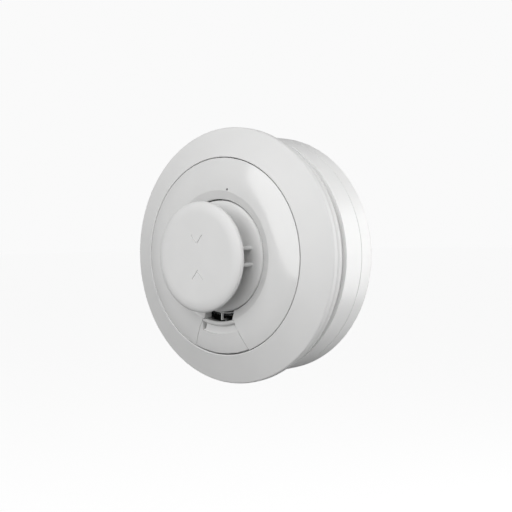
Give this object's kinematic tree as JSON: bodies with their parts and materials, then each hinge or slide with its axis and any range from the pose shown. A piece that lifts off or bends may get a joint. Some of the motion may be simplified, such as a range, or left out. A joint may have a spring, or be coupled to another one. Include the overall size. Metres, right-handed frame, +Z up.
{
  "type": "heat detector",
  "caption": "Round wall-mounted heat detector with a conical flange, a domed head, a raised round test button on fins and a hinged wedge-shaped flap.",
  "frame": {"origin": "centre of the flat back face of the back box, in the wall plane", "axes": "+Y into the wall, -Y out into the room along the detector's axis, +Z up, +X to the right seen from the room"},
  "size_m": [0.15, 0.071, 0.15],
  "materials": {
    "case_white": "fine satin moulded white",
    "dome_white": "glossy moulded white",
    "button_white": "fine spark texture white",
    "box_white": "satin moulded white",
    "inner_plastic": "natural matt moulding",
    "black_plastic": "matt black",
    "black_mesh": "fine black woven mesh",
    "rubber_black": "matt",
    "steel_zinc": "zinc plated",
    "spring_steel": "bright drawn wire",
    "brass": "bright",
    "tin_contact": "nickel plated",
    "board_green": "solder resist",
    "cell_wrap": "shrink sleeve",
    "capacitor_sleeve": "shrink sleeve",
    "module_grey": "potted block",
    "terminal_plastic": "natural polyamide",
    "cover_plastic": "translucent grey",
    "clear_plastic": "clear moulded",
    "led_red": "tinted lens",
    "sensor_epoxy": "dipped bead"
  },
  "bodies": {
    "base": {"wall_plate": "box_white", "box_pillars": "box_white", "back_box": "box_white", "cable_grommet": "rubber_black", "spacer_ring": "box_white", "base_plate": "case_white", "base_screws": "steel_zinc", "terminal_block": "terminal_plastic", "terminal_screws": "steel_zinc", "terminal_cover": "cover_plastic", "contact_springs": "brass", "trim_ring": "case_white"},
    "alarm_head": {"head_housing": "inner_plastic", "front_cover": "dome_white", "head_screws": "steel_zinc", "circuit_board": "board_green", "contact_pins": "brass", "battery_cell": "cell_wrap", "battery_contacts": "tin_contact", "power_module": "module_grey", "main_capacitor": "capacitor_sleeve", "microcontroller": "black_plastic", "sounder_body": "black_plastic", "piezo_disc": "brass", "sounder_mesh": "black_mesh", "switch_body": "black_plastic", "sensor_post": "inner_plastic", "thermistor": "sensor_epoxy", "status_led": "led_red", "light_pipe": "clear_plastic", "service_header": "black_plastic", "header_pins": "brass", "return_spring": "spring_steel", "flap_hinge_pin": "spring_steel"},
    "test_button": {"button_cap": "button_white", "button_collar": "button_white"},
    "switch_plunger": {"switch_plunger": "black_plastic"},
    "access_flap": {"access_flap": "dome_white"}
  },
  "joints": [
    {"name": "head_twist", "type": "hinge", "parent": "base", "child": "alarm_head", "pos_m": [0, -0.037, 0], "axis": [0, -1, 0], "range_deg": [0, 16]},
    {"name": "button_press", "type": "slide", "parent": "alarm_head", "child": "test_button", "axis": [0, 1, 0], "range_m": [0, 0.0012], "stiffness_N_per_m": 900, "springref_m": -0.002, "deforming": ["return_spring"]},
    {"name": "plunger_press", "type": "slide", "parent": "alarm_head", "child": "switch_plunger", "axis": [0, 1, 0], "range_m": [0, 0.0012]},
    {"name": "flap_hinge", "type": "hinge", "parent": "alarm_head", "child": "access_flap", "pos_m": [0, -0.0496, -0.0545], "axis": [1, 0, 0], "range_deg": [0, 18]}
  ],
  "couplings": [
    {"joint": "plunger_press", "follows": "button_press", "ratio": 1}
  ]
}
